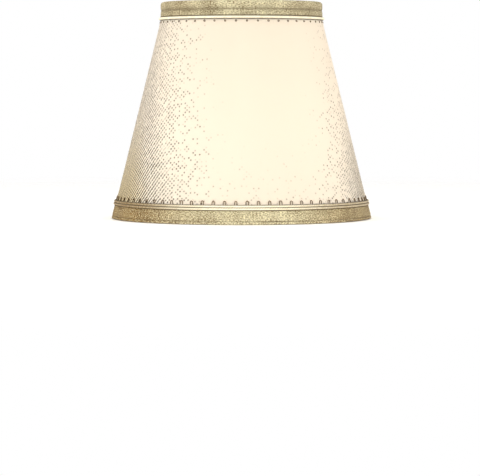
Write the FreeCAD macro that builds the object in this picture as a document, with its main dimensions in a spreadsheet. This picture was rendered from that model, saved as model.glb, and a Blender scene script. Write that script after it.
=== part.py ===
import FreeCAD, Part
import Sketcher
import math
import os

# Empire lamp shade: a cloth-covered stiff cone on two wire rings, hung from a
# three-armed spider. Millimetres, +Z up, origin at the centre of the lower rim.

doc = FreeCAD.newDocument("EmpireShade")

# ---------------------------------------------------------------- sizes
# Every size that can be set by itself. The layers of the cone (cloth, backing,
# trim) are measured level with the floor.
SIZES = [
    ("shade_height", 272, "lower rim to the top of the trim"),
    ("top_diameter", 204, "outside of the upper trim"),
    ("bottom_diameter", 330, "outside of the lower trim at its rim"),
    ("ring_wire", 4, "wire of the two rings"),
    ("tape_thickness", 0.4, "cotton tape wound round the rings"),
    ("backing_thickness", 0.6, "stiff white sheet behind the cloth"),
    ("cloth_thickness", 0.6, "woven cover"),
    ("lap_width", 10, "overlap of the cloth and of the backing at the back"),
    ("seam_angle", 90, "turn of that overlap about the axis, degrees"),
    ("band_thickness", 1.2, "folded trim cloth"),
    ("top_band_height", 19, "outer leg of the upper trim"),
    ("top_band_tuck", 14, "inner leg of the upper trim, below the ring's middle"),
    ("bottom_band_height", 17, "outer leg of the lower trim"),
    ("bottom_band_tuck", 12, "inner leg of the lower trim, above the ring's middle"),
    ("rim_round", 1, "outer corner of the lower trim"),
    ("piping_diameter", 3.4, "corded piping under the upper trim"),
    ("welt_diameter", 2.9, "each of the two cords over the lower trim"),
    ("piping_cloth", 0.5, "cloth round the cords"),
    ("trim_gap", 0.2, "between neighbouring rows of trim"),
    ("seat_gap", 0.1, "between an edge and what it is pressed against"),
    ("arm_count", 3, "arms of the spider"),
    ("arm_wire", 3.2, "wire of the arms, and thickness of the hub"),
    ("arm_rise_angle", 45, "slope of the joggle in an arm, degrees"),
    ("arm_bend", 6, "bend radius on the arms' centre line"),
    ("arm_shoulder", 8, "level end of an arm, from the joggle to the ring's middle"),
    ("first_arm_angle", 90, "turn of the spider about the axis, degrees"),
    ("slot_gap", 1, "trim and tape to each side of an arm"),
    ("hub_diameter", 25.4, "washer in the middle of the spider"),
    ("hub_bore", 11.1, "hole for the stud of the lamp's harp"),
    ("hub_drop", 12.7, "hub below the upper ring, middle to middle"),
    ("notch_depth", 3, "seat of an arm in the hub's edge"),
    ("knot_diameter", 3, "stitches under the piping"),
    ("knot_height", 0.9, "how far those stitches stand out"),
    ("knot_count", 48, "stitches under the piping"),
    ("knot_drop", 4.8, "stitches below the middle of the piping"),
    ("thread_diameter", 1.1, "thread of the looped stitches"),
    ("loop_width", 4.2, "looped stitch, outside"),
    ("loop_height", 4.8, "looped stitch, outside"),
    ("loop_count", 72, "looped stitches over the lower trim"),
    ("loop_rise", 0.6, "looped stitches above the upper welt"),
]

sizes = doc.addObject("Spreadsheet::Sheet", "Sizes")
for row, (alias, number, note) in enumerate(SIZES, start=1):
    sizes.set(f"A{row}", alias)
    sizes.set(f"B{row}", str(number))
    sizes.set(f"C{row}", note)
    sizes.setAlias(f"B{row}", alias)

# Places that several pieces share, each worked out from the sizes.
PLACES = [
    ("cone_slope", "(Sizes.bottom_diameter - Sizes.top_diameter) / 2"
                   " / (Sizes.shade_height - Sizes.top_band_height)"),
    ("cone_angle", "atan(cone_slope) / 1 deg"),
    ("cone_cosine", "cos(atan(cone_slope))"),
    # radii of the cone's faces, carried down to the level of the rim
    ("cloth_foot", "Sizes.bottom_diameter / 2 - Sizes.band_thickness"),
    ("backing_foot", "cloth_foot - Sizes.cloth_thickness"),
    ("inside_foot", "backing_foot - Sizes.backing_thickness"),
    # the rings, each with its tape
    ("taped_radius", "Sizes.ring_wire / 2 + Sizes.tape_thickness"),
    ("trimmed_radius", "taped_radius + Sizes.band_thickness"),
    ("top_ring_radius", "Sizes.top_diameter / 2 - trimmed_radius"),
    ("top_ring_level", "Sizes.shade_height - trimmed_radius"),
    ("bottom_ring_level", "trimmed_radius"),
    ("bottom_ring_radius", "inside_foot - cone_slope * bottom_ring_level"
                           " - (taped_radius + Sizes.seat_gap) / cone_cosine"),
    # edges of the cone
    ("cone_top", "top_ring_level - taped_radius - Sizes.seat_gap"),
    ("cone_bottom", "Sizes.band_thickness + Sizes.seat_gap"),
    # edges of the trim
    ("top_band_low", "Sizes.shade_height - Sizes.top_band_height"),
    ("top_tuck_low", "top_ring_level - Sizes.top_band_tuck"),
    ("bottom_tuck_high", "bottom_ring_level + Sizes.bottom_band_tuck"),
    ("top_tuck_radius", "min(top_ring_radius - taped_radius; inside_foot - cone_slope * cone_top)"),
    ("top_tuck_turn", "cone_top - taped_radius"),
    ("bottom_tuck_turn", "bottom_ring_level + 3 * taped_radius"),
    # middles of the corded rows
    ("piping_level", "top_band_low - Sizes.trim_gap - Sizes.piping_diameter / 2"),
    ("lower_welt_level", "Sizes.bottom_band_height + Sizes.trim_gap + Sizes.welt_diameter / 2"),
    ("upper_welt_level", "lower_welt_level + Sizes.welt_diameter + Sizes.trim_gap"),
    # stitches
    ("knot_level", "piping_level - Sizes.knot_drop"),
    ("loop_level", "upper_welt_level + Sizes.welt_diameter / 2 + Sizes.loop_rise"),
    ("lap_low", "loop_level + Sizes.loop_height + Sizes.trim_gap"),
    ("lap_high", "knot_level - Sizes.knot_diameter / 2 - Sizes.trim_gap"),
    # the spider
    ("hub_level", "top_ring_level - Sizes.hub_drop"),
    ("notch_radius", "Sizes.hub_diameter / 2 - Sizes.notch_depth"),
]

places = doc.addObject("Spreadsheet::Sheet", "Places")
for row, (alias, formula) in enumerate(PLACES, start=1):
    places.set(f"A{row}", alias)
    places.set(f"B{row}", "=" + formula)
    places.setAlias(f"B{row}", alias)
doc.recompute()


# ---------------------------------------------------------------- helpers
def number(formula):
    """What a formula over the two sheets comes to."""
    return float(sizes.evalExpression(formula))


def cloth_face(level):
    return f"(Places.cloth_foot - Places.cone_slope * ({level}))"


def backing_face(level):
    return f"(Places.backing_foot - Places.cone_slope * ({level}))"


def inside_face(level):
    return f"(Places.inside_foot - Places.cone_slope * ({level}))"


def new_body(name):
    body = doc.addObject("PartDesign::Body", name)
    body.Label = name
    return body


def plane_sketch(body, name, role):
    sketch = body.newObject("Sketcher::SketchObject", name)
    plane = [p for p in body.Origin.OriginFeatures if p.Role == role][0]
    sketch.AttachmentSupport = (plane, [""])
    sketch.MapMode = "FlatFace"
    return sketch


def pin_point(sketch, edge, end, across, up):
    """Hold one end of an edge at two formulas, measured from the sketch's origin."""
    for kind, formula in (("DistanceX", across), ("DistanceY", up)):
        held = Sketcher.Constraint(kind, -1, 1, edge, end, number(formula))
        index = sketch.addConstraint(held)
        sketch.setExpression(f"Constraints[{index}]", formula)


def closed_outline(sketch, corners):
    """Join the corners in turn. A corner is (across, up) or (across, up, radius, turn),
    where the edge that leaves it is an arc: turn +1 is anticlockwise, -1 clockwise."""
    vector = FreeCAD.Vector
    spots = [vector(number(c[0]), number(c[1]), 0) for c in corners]
    count = len(corners)
    for i, corner in enumerate(corners):
        start = spots[i]
        end = spots[(i + 1) % count]
        if len(corner) == 2:
            sketch.addGeometry(Part.LineSegment(start, end))
            continue
        radius = number(corner[2])
        half = (end - start) * 0.5
        side = vector(-half.y, half.x, 0).normalize() * corner[3]
        reach = max(radius ** 2 - half.Length ** 2, 0) ** 0.5
        centre = start + half + side * reach
        middle = centre - side * radius
        sketch.addGeometry(Part.Arc(start, middle, end))
    for i, corner in enumerate(corners):
        # an arc always runs anticlockwise, so a clockwise one starts at its far end
        backward = len(corner) == 4 and corner[3] < 0
        after = (i + 1) % count
        after_backward = len(corners[after]) == 4 and corners[after][3] < 0
        tail = 1 if backward else 2
        head = 2 if after_backward else 1
        sketch.addConstraint(Sketcher.Constraint("Coincident", i, tail, after, head))
    for i, corner in enumerate(corners):
        backward = len(corner) == 4 and corner[3] < 0
        pin_point(sketch, i, 2 if backward else 1, corner[0], corner[1])
    for i, corner in enumerate(corners):
        if len(corner) == 4:
            index = sketch.addConstraint(Sketcher.Constraint("Radius", i, number(corner[2])))
            sketch.setExpression(f"Constraints[{index}]", corner[2])


def z_axis(body):
    return ([a for a in body.Origin.OriginFeatures if a.Role == "Z_Axis"][0], [""])


def revolve(body, sketch, name, angle=None):
    """Turn a sketch round the shade's axis: all the way, or a sector of so many degrees."""
    turned = body.newObject("PartDesign::Revolution", name)
    turned.Profile = sketch
    turned.ReferenceAxis = z_axis(body)
    if angle:
        turned.Midplane = True
        turned.setExpression("Angle", angle)
    sketch.Visibility = False
    body.Tip = turned
    return turned


def repeat_round(body, feature, name, count):
    pattern = body.newObject("PartDesign::PolarPattern", name)
    pattern.Originals = [feature]
    pattern.Axis = z_axis(body)
    pattern.Angle = 360
    pattern.setExpression("Occurrences", count)
    body.Tip = pattern
    return pattern


def torus(name, radius, thickness, level):
    """A ring of round section; thickness is the diameter of the section."""
    ring = doc.addObject("Part::Torus", name)
    ring.Label = name
    ring.setExpression("Radius1", radius)
    ring.setExpression("Radius2", f"({thickness}) / 2")
    ring.setExpression("Placement.Base.z", level)
    return ring


# ---------------------------------------------------------------- rings
def build_wire_ring(name, radius, level):
    return torus(name, radius, "Sizes.ring_wire", level)


def build_ring_tape(name, radius, level):
    """Cotton tape wound round a ring."""
    body = new_body(name)
    sketch = plane_sketch(body, f"{name}_section", "XZ_Plane")
    for size in ("Sizes.ring_wire / 2", "Places.taped_radius"):
        place = FreeCAD.Vector(number(radius), number(level), 0)
        edge = sketch.addGeometry(Part.Circle(place, FreeCAD.Vector(0, 0, 1), number(size)))
        pin_point(sketch, edge, 3, radius, level)
        index = sketch.addConstraint(Sketcher.Constraint("Radius", edge, number(size)))
        sketch.setExpression(f"Constraints[{index}]", size)
    revolve(body, sketch, f"{name}_turn")
    return body


def cut_arm_slots(body):
    """Openings for the arms, from the edge of the inner leg up past the ring's middle."""
    inner = "Places.top_ring_radius - Places.trimmed_radius - Sizes.slot_gap"
    outer = "Places.top_ring_radius"
    low = "Places.top_tuck_low - Sizes.slot_gap"
    high = "Places.top_ring_level + Sizes.arm_wire / 2 + Sizes.trim_gap"
    sketch = plane_sketch(body, f"{body.Name}_slot", "XZ_Plane")
    closed_outline(sketch, [(inner, low), (outer, low), (outer, high), (inner, high)])
    slot = body.newObject("PartDesign::Pocket", f"{body.Name}_slot_cut")
    slot.Profile = sketch
    slot.SideType = "Symmetric"
    slot.setExpression("Length", "Sizes.arm_wire + 2 * Sizes.slot_gap")
    repeat_round(body, slot, f"{body.Name}_slots", "Sizes.arm_count")
    body.setExpression("Placement.Rotation.Angle", "Sizes.first_arm_angle")


# ---------------------------------------------------------------- spider
def build_hub():
    """Washer with a notch in its edge for each arm."""
    body = new_body("spider_hub")
    sketch = plane_sketch(body, "hub_disc", "XY_Plane")
    for size in ("Sizes.hub_diameter / 2", "Sizes.hub_bore / 2"):
        edge = sketch.addGeometry(
            Part.Circle(FreeCAD.Vector(0, 0, 0), FreeCAD.Vector(0, 0, 1), number(size)))
        sketch.addConstraint(Sketcher.Constraint("Coincident", edge, 3, -1, 1))
        index = sketch.addConstraint(Sketcher.Constraint("Radius", edge, number(size)))
        sketch.setExpression(f"Constraints[{index}]", size)
    disc = body.newObject("PartDesign::Pad", "hub_plate")
    disc.Profile = sketch
    disc.SideType = "Symmetric"
    disc.setExpression("Length", "Sizes.arm_wire")
    body.Tip = disc

    side = "Sizes.arm_wire / 2"
    far = "Sizes.hub_diameter / 2 + Sizes.notch_depth"
    notch_sketch = plane_sketch(body, "hub_notch", "XY_Plane")
    closed_outline(notch_sketch, [("Places.notch_radius", f"-{side}"), (far, f"-{side}"),
                                  (far, side), ("Places.notch_radius", side)])
    notch = body.newObject("PartDesign::Pocket", "hub_notch_cut")
    notch.Profile = notch_sketch
    notch.SideType = "Symmetric"
    notch.setExpression("Length", "Sizes.arm_wire * 2")
    repeat_round(body, notch, "hub_notches", "Sizes.arm_count")
    body.setExpression("Placement.Base.z", "Places.hub_level")
    body.setExpression("Placement.Rotation.Angle", "Sizes.first_arm_angle")
    return body


def build_arm(index, ring):
    """Wire from a notch in the hub: level, up through a joggle, and level to the ring."""
    name = f"spider_arm_{index + 1}"
    body = new_body(f"{name}_wire")
    vector = FreeCAD.Vector
    rise = math.radians(number("Sizes.arm_rise_angle"))
    bend = number("Sizes.arm_bend")
    end = vector(number("Places.top_ring_radius"), number("Places.top_ring_level"), 0)
    start = vector(number("Places.notch_radius"), number("Places.hub_level"), 0)
    reach, lift = bend * math.sin(rise), bend * (1 - math.cos(rise))
    near_reach, near_lift = bend * math.sin(rise / 2), bend * (1 - math.cos(rise / 2))
    shoulder = end - vector(number("Sizes.arm_shoulder"), 0, 0)
    slope_top = shoulder - vector(reach, lift, 0)
    slope_height = slope_top.y - start.y - lift
    slope_foot = slope_top - vector(slope_height / math.tan(rise), slope_height, 0)
    level_end = slope_foot - vector(reach, lift, 0)

    path = plane_sketch(body, f"{name}_path", "XZ_Plane")
    path.addGeometry(Part.LineSegment(start, level_end))
    path.addGeometry(Part.Arc(level_end, level_end + vector(near_reach, near_lift, 0), slope_foot))
    path.addGeometry(Part.LineSegment(slope_foot, slope_top))
    path.addGeometry(Part.Arc(slope_top, shoulder - vector(near_reach, near_lift, 0), shoulder))
    path.addGeometry(Part.LineSegment(shoulder, end))
    path.addConstraint(Sketcher.Constraint("Horizontal", 0))
    path.addConstraint(Sketcher.Constraint("Horizontal", 4))
    # the second arc bends the other way, so it is joined by its far end first
    for first, first_end, second, second_end in ((0, 2, 1, 1), (1, 2, 2, 1),
                                                 (2, 2, 3, 2), (3, 1, 4, 1)):
        path.addConstraint(
            Sketcher.Constraint("Tangent", first, first_end, second, second_end))
    pin_point(path, 0, 1, "Places.notch_radius", "Places.hub_level")
    pin_point(path, 4, 2, "Places.top_ring_radius", "Places.top_ring_level")
    for arc in (1, 3):
        radius = path.addConstraint(Sketcher.Constraint("Radius", arc, bend))
        path.setExpression(f"Constraints[{radius}]", "Sizes.arm_bend")
    slope = path.addConstraint(Sketcher.Constraint("Angle", 2, rise))
    path.setExpression(f"Constraints[{slope}]", "Sizes.arm_rise_angle * 1 deg")
    length = path.addConstraint(
        Sketcher.Constraint("DistanceX", 4, 1, 4, 2, number("Sizes.arm_shoulder")))
    path.setExpression(f"Constraints[{length}]", "Sizes.arm_shoulder")

    section = plane_sketch(body, f"{name}_section", "YZ_Plane")
    section.setExpression("AttachmentOffset.Base.z", "Places.notch_radius")
    edge = section.addGeometry(
        Part.Circle(vector(0, start.y, 0), vector(0, 0, 1), number("Sizes.arm_wire / 2")))
    section.addConstraint(Sketcher.Constraint("PointOnObject", edge, 3, -2))
    level = section.addConstraint(Sketcher.Constraint("DistanceY", -1, 1, edge, 3, start.y))
    section.setExpression(f"Constraints[{level}]", "Places.hub_level")
    size = section.addConstraint(
        Sketcher.Constraint("Radius", edge, number("Sizes.arm_wire / 2")))
    section.setExpression(f"Constraints[{size}]", "Sizes.arm_wire / 2")

    wire = body.newObject("PartDesign::AdditivePipe", f"{name}_pipe")
    wire.Profile = section
    wire.Spine = (path, [f"Edge{i + 1}" for i in range(path.GeometryCount)])
    body.Tip = wire
    step = f"{index} * 360 / Sizes.arm_count"
    body.setExpression("Placement.Rotation.Angle", f"Sizes.first_arm_angle + {step}")

    # the end is ground to fit the ring it is welded to
    arm = doc.addObject("Part::Cut", name)
    arm.Label = name
    arm.Base = body
    arm.Tool = ring
    return arm


# ---------------------------------------------------------------- cone
def build_sheet(name, outer_face, inner_face, lap_outer, lap_inner):
    """A cone of sheet from edge to edge, doubled where its ends lap at the back."""
    body = new_body(name)
    low, high = "Places.cone_bottom", "Places.cone_top"
    sketch = plane_sketch(body, f"{name}_wall", "XZ_Plane")
    closed_outline(sketch, [(outer_face(low), low), (outer_face(high), high),
                            (inner_face(high), high), (inner_face(low), low)])
    revolve(body, sketch, f"{name}_turn")

    low, high = "Places.lap_low", "Places.lap_high"
    lap_sketch = plane_sketch(body, f"{name}_lap", "XZ_Plane")
    closed_outline(lap_sketch, [(lap_outer(low), low), (lap_outer(high), high),
                                (lap_inner(high), high), (lap_inner(low), low)])
    middle = cloth_face("Sizes.shade_height / 2")
    revolve(body, lap_sketch, f"{name}_lap_turn", f"Sizes.lap_width / {middle} * 180 / pi")
    body.setExpression("Placement.Rotation.Angle", "Sizes.seam_angle")
    return body


def build_cover_cloth():
    return build_sheet("cover_cloth", cloth_face, backing_face,
                       lambda level: f"({cloth_face(level)} + Sizes.cloth_thickness)", backing_face)


def build_backing_cone():
    return build_sheet("backing_cone", backing_face, inside_face, backing_face,
                       lambda level: f"({inside_face(level)} - Sizes.backing_thickness)")


# ---------------------------------------------------------------- trim
def build_top_band():
    """Folded cloth: down the outside, over the taped ring, and in against the backing."""
    body = new_body("top_band")
    ring, level = "Places.top_ring_radius", "Places.top_ring_level"
    taped, trimmed = "Places.taped_radius", "Places.trimmed_radius"
    cloth = "Sizes.band_thickness"
    edge, turn, low = "Places.cone_top", "Places.top_tuck_turn", "Places.top_tuck_low"
    sketch = plane_sketch(body, "top_band_fold", "XZ_Plane")
    closed_outline(sketch, [
        ("Sizes.top_diameter / 2", "Places.top_band_low"),
        (f"{ring} + {trimmed}", level, trimmed, 1),
        (ring, f"{level} + {trimmed}", trimmed, 1),
        (f"{ring} - {trimmed}", level),
        (f"Places.top_tuck_radius - {cloth}", edge),
        (f"{inside_face(turn)} - {cloth}", turn),
        (f"{inside_face(low)} - {cloth}", low),
        (inside_face(low), low),
        (inside_face(turn), turn),
        ("Places.top_tuck_radius", edge),
        (f"{ring} - {taped}", level, taped, -1),
        (ring, f"{level} + {taped}", taped, -1),
        (f"{ring} + {taped}", level),
        (f"Sizes.top_diameter / 2 - {cloth}", "Places.top_band_low"),
    ])
    revolve(body, sketch, "top_band_turn")
    cut_arm_slots(body)
    return body


def build_bottom_band():
    """Folded cloth: down the outside, flat under the rim, round the taped ring and in."""
    body = new_body("bottom_band")
    ring, level = "Places.bottom_ring_radius", "Places.bottom_ring_level"
    taped, trimmed = "Places.taped_radius", "Places.trimmed_radius"
    cloth, top = "Sizes.band_thickness", "Sizes.bottom_band_height"
    turn, high = "Places.bottom_tuck_turn", "Places.bottom_tuck_high"
    rim = "Sizes.rim_round"
    sketch = plane_sketch(body, "bottom_band_fold", "XZ_Plane")
    closed_outline(sketch, [
        (f"{cloth_face(top)} + {cloth}", top),
        (cloth_face(top), top),
        (cloth_face(cloth), cloth),
        (ring, cloth, taped, -1),
        (f"{ring} - {taped}", level),
        (f"{ring} - {taped}", f"{level} + {taped}"),
        (inside_face(turn), turn),
        (inside_face(high), high),
        (f"{inside_face(high)} - {cloth}", high),
        (f"{inside_face(turn)} - {cloth}", turn),
        (f"{ring} - {trimmed}", f"{level} + {taped}"),
        (f"{ring} - {trimmed}", level, trimmed, 1),
        (ring, "0"),
        (f"Sizes.bottom_diameter / 2 - {rim}", "0"),
        (f"{cloth_face(rim)} + {cloth}", rim),
    ])
    revolve(body, sketch, "bottom_band_turn")
    return body


def build_piping(cord_name, cover_name, diameter, level):
    """A cord in a tube of cloth, pressed against the cone."""
    radius = f"{cloth_face(level)} + ({diameter}) / 2 / Places.cone_cosine"
    core = f"{diameter} - 2 * Sizes.piping_cloth"
    cord = torus(cord_name, radius, core, level)
    cover = doc.addObject("Part::Cut", cover_name)
    cover.Label = cover_name
    cover.Base = torus(f"{cover_name}_outside", radius, diameter, level)
    cover.Tool = torus(f"{cover_name}_inside", radius, core, level)
    return [cord, cover]


# ---------------------------------------------------------------- stitches
def lean_on_cone(sketch, level, standoff):
    """Lay a sketch against the cone at a level, its own up along the slope."""
    sketch.AttachmentOffset = FreeCAD.Placement(
        FreeCAD.Vector(0, 0, 0), FreeCAD.Rotation(FreeCAD.Vector(1, 0, 0), -10))
    sketch.setExpression("AttachmentOffset.Rotation.Angle", "-Places.cone_angle")
    sketch.setExpression("AttachmentOffset.Base.y",
                         f"{level} + ({standoff}) * sin(atan(Places.cone_slope))")
    sketch.setExpression("AttachmentOffset.Base.z",
                         f"{cloth_face(level)} + ({standoff}) * Places.cone_cosine")


def build_knots():
    """Row of small round stitches under the piping."""
    body = new_body("top_stitches")
    sketch = plane_sketch(body, "knot", "YZ_Plane")
    lean_on_cone(sketch, "Places.knot_level", "0")
    edge = sketch.addGeometry(Part.Circle(FreeCAD.Vector(0, 0, 0), FreeCAD.Vector(0, 0, 1),
                                          number("Sizes.knot_diameter / 2")))
    sketch.addConstraint(Sketcher.Constraint("Coincident", edge, 3, -1, 1))
    size = sketch.addConstraint(
        Sketcher.Constraint("Radius", edge, number("Sizes.knot_diameter / 2")))
    sketch.setExpression(f"Constraints[{size}]", "Sizes.knot_diameter / 2")
    knot = body.newObject("PartDesign::Pad", "knot_pad")
    knot.Profile = sketch
    knot.setExpression("Length", "Sizes.knot_height")
    repeat_round(body, knot, "knots", "Sizes.knot_count")
    half_step = "180 / Sizes.knot_count"
    body.setExpression("Placement.Rotation.Angle", f"Sizes.seam_angle + {half_step}")
    return body


def build_loops():
    """Row of stitches like an upturned U over the lower trim."""
    body = new_body("bottom_stitches")
    half = "(Sizes.loop_width - Sizes.thread_diameter) / 2"
    straight = f"(Sizes.loop_height - Sizes.thread_diameter / 2 - {half})"
    vector = FreeCAD.Vector
    span, tall = number(half), number(straight)

    path = plane_sketch(body, "loop_path", "YZ_Plane")
    lean_on_cone(path, "Places.loop_level", "Sizes.thread_diameter / 2")
    path.addGeometry(Part.LineSegment(vector(span, 0, 0), vector(span, tall, 0)))
    path.addGeometry(Part.Arc(vector(span, tall, 0), vector(0, tall + span, 0),
                              vector(-span, tall, 0)))
    path.addGeometry(Part.LineSegment(vector(-span, tall, 0), vector(-span, 0, 0)))
    path.addConstraint(Sketcher.Constraint("Tangent", 0, 2, 1, 1))
    path.addConstraint(Sketcher.Constraint("Tangent", 1, 2, 2, 1))
    pin_point(path, 0, 1, half, "0")
    pin_point(path, 0, 2, half, straight)
    pin_point(path, 2, 2, f"-{half}", "0")

    section = plane_sketch(body, "loop_section", "YZ_Plane")
    # square to the start of the path: the leaning plane tipped a quarter turn further
    section.AttachmentOffset = FreeCAD.Placement(
        vector(0, 0, 0), FreeCAD.Rotation(vector(1, 0, 0), -100))
    section.setExpression("AttachmentOffset.Rotation.Angle", "-90 - Places.cone_angle")
    standoff = "Sizes.thread_diameter / 2"
    section.setExpression("AttachmentOffset.Base.x", half)
    section.setExpression("AttachmentOffset.Base.y",
                          f"Places.loop_level + {standoff} * sin(atan(Places.cone_slope))")
    section.setExpression("AttachmentOffset.Base.z",
                          f"{cloth_face('Places.loop_level')} + {standoff} * Places.cone_cosine")
    edge = section.addGeometry(
        Part.Circle(vector(0, 0, 0), vector(0, 0, 1), number("Sizes.thread_diameter / 2")))
    section.addConstraint(Sketcher.Constraint("Coincident", edge, 3, -1, 1))
    size = section.addConstraint(
        Sketcher.Constraint("Radius", edge, number("Sizes.thread_diameter / 2")))
    section.setExpression(f"Constraints[{size}]", "Sizes.thread_diameter / 2")

    loop = body.newObject("PartDesign::AdditivePipe", "loop_pipe")
    loop.Profile = section
    loop.Spine = (path, ["Edge1", "Edge2", "Edge3"])
    repeat_round(body, loop, "loops", "Sizes.loop_count")
    half_step = "180 / Sizes.loop_count"
    body.setExpression("Placement.Rotation.Angle", f"Sizes.seam_angle + {half_step}")
    return body


# ---------------------------------------------------------------- assembly
top_ring = build_wire_ring("top_wire_ring", "Places.top_ring_radius", "Places.top_ring_level")
bottom_ring = build_wire_ring("bottom_wire_ring", "Places.bottom_ring_radius",
                              "Places.bottom_ring_level")
top_tape = build_ring_tape("top_ring_tape", "Places.top_ring_radius", "Places.top_ring_level")
cut_arm_slots(top_tape)
bottom_tape = build_ring_tape("bottom_ring_tape", "Places.bottom_ring_radius",
                              "Places.bottom_ring_level")
pieces = [top_ring, bottom_ring, top_tape, bottom_tape, build_hub()]
for arm_index in range(round(number("Sizes.arm_count"))):
    pieces.append(build_arm(arm_index, top_ring))
pieces += [build_backing_cone(), build_cover_cloth(), build_top_band(), build_bottom_band()]
pieces += build_piping("top_piping_cord", "top_piping_cover",
                       "Sizes.piping_diameter", "Places.piping_level")
pieces += build_piping("upper_welt_cord", "upper_welt_cover",
                       "Sizes.welt_diameter", "Places.upper_welt_level")
pieces += build_piping("lower_welt_cord", "lower_welt_cover",
                       "Sizes.welt_diameter", "Places.lower_welt_level")
pieces += [build_knots(), build_loops()]

doc.recompute()
failed = [o.Name for o in doc.Objects if "Invalid" in o.State or "Error" in o.State]
if failed:
    raise RuntimeError(f"failed to recompute: {failed}")
for piece in pieces:
    if piece.Shape.isNull() or not piece.Shape.isValid() or not piece.Shape.Solids:
        raise RuntimeError(f"{piece.Label} has no valid solid")

os.makedirs("parts", exist_ok=True)
for piece in pieces:
    piece.Shape.exportStep(os.path.join("parts", f"{piece.Label}.step"))
    print(f"{piece.Label}: {len(piece.Shape.Solids)} solids, {piece.Shape.Volume:.1f} mm3")
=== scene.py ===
import bpy, bmesh, math, random
from mathutils import Matrix, Vector, noise


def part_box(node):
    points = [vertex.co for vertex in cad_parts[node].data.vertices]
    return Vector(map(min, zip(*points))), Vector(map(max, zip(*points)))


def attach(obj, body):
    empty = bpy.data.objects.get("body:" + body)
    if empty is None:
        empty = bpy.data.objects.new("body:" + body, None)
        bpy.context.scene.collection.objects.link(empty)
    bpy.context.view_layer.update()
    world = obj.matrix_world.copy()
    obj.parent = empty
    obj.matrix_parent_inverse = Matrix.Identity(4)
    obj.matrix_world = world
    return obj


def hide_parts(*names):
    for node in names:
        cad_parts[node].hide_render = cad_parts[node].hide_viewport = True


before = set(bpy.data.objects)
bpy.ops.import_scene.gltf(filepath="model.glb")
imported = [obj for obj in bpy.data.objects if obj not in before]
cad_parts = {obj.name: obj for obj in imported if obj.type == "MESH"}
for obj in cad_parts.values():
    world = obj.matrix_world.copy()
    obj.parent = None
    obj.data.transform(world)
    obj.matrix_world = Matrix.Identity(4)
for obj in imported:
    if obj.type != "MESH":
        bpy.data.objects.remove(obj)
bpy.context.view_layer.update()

print("frame loaded:", len(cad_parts), "nodes")


# measures that several pieces share, in metres
def nodeSpan(node):
    low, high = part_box(node)
    return Vector(low), Vector(high)


def sectionOf(node):  # a ring's radius and height, and the thickness of its round section
    low, high = nodeSpan(node)
    thickness = high.z - low.z
    return max(high.x, high.y) - thickness / 2, (low.z + high.z) / 2, thickness


layers = {"trim": 0.0012, "cover": 0.0006, "backing": 0.0006, "tape": 0.0004, "piping": 0.0005}
upperRim = nodeSpan("top_band")[1].x          # outside of the upper trim
lowerRim = nodeSpan("bottom_band")[1].x       # outside of the lower trim
upperTrimFoot = nodeSpan("top_band")[0].z
lowerTrimTop = nodeSpan("bottom_band")[1].z
coneFoot, coneHead = nodeSpan("backing_cone")[0].z, nodeSpan("backing_cone")[1].z
coneSlope = (lowerRim - upperRim) / upperTrimFoot
slant = math.hypot(1, coneSlope)
backAngle = math.pi / 2                        # cloth and trims all lap at the back
armAngles = [math.radians(angle) for angle in (90, 210, 330)]   # the fitter's, from above
lapWidth = 0.010
lapRise = (-0.006, -0.0008)                    # where a cloth's end climbs onto its start
lapClear = {"trim": 0.0001, "cover": 0.00008, "backing": 0.00005}   # air between a lap's layers
seamSlope = 0.006                              # beside the cover's lap, where a layer comes down
bandPeriod = 0.31416                           # a Wave texture's bands are pi / 10 apart at scale 1
ringRadius, ringLevel, ringWire = sectionOf("top_wire_ring")
lowRingRadius, lowRingLevel, _ = sectionOf("bottom_wire_ring")
tapedRadius = ringWire / 2 + layers["tape"]


def coneRadius(level):  # outer face of the cover cloth
    return lowerRim - layers["trim"] - coneSlope * level


def insideRadius(level):  # inner face of the backing
    return coneRadius(level) - layers["cover"] - layers["backing"]


def easeStep(low, high, value):
    part = min(max((value - low) / (high - low), 0), 1)
    return part * part * (3 - 2 * part)


def bell(away, reach):  # 1 in the middle, fading to both sides
    return math.exp(-(away / reach) ** 2)


def apart(angle, other):  # the angle between two directions round the axis
    return abs((angle - other + math.pi) % math.tau - math.pi)


def offArm(place):  # the angle from a place to the nearest arm
    return min(apart(math.atan2(place.y, place.x), arm) for arm in armAngles)


def overSeam(angle, radius):  # how far a layer is lifted where the cover laps under it
    away = apart(angle, backAngle) * radius
    return layers["cover"] * (1 - easeStep(lapWidth / 2, lapWidth / 2 + seamSlope, away))


def ontoLap(layer, past):  # how far a cloth's end is lifted onto its start
    return (layers[layer] + lapClear[layer]) * easeStep(*lapRise, past)


def paint(code):  # sRGB hex to the linear numbers that a shader takes
    parts = [int(code[i:i + 2], 16) / 255 for i in (1, 3, 5)]
    linear = [c / 12.92 if c <= 0.04045 else ((c + 0.055) / 1.055) ** 2.4 for c in parts]
    return (*linear, 1.0)


def addNode(tree, kind, settings=None, inputs=None):
    node = tree.nodes.new(kind)
    for name, value in (settings or {}).items():
        setattr(node, name, value)
    for key, value in (inputs or {}).items():
        if isinstance(value, bpy.types.NodeSocket):
            tree.links.new(value, node.inputs[key])
        else:
            node.inputs[key].default_value = value
    return node


def blankMaterial(name):
    material = bpy.data.materials.new(name)
    material.use_nodes = True
    material.node_tree.nodes.clear()
    return material, material.node_tree


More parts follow.
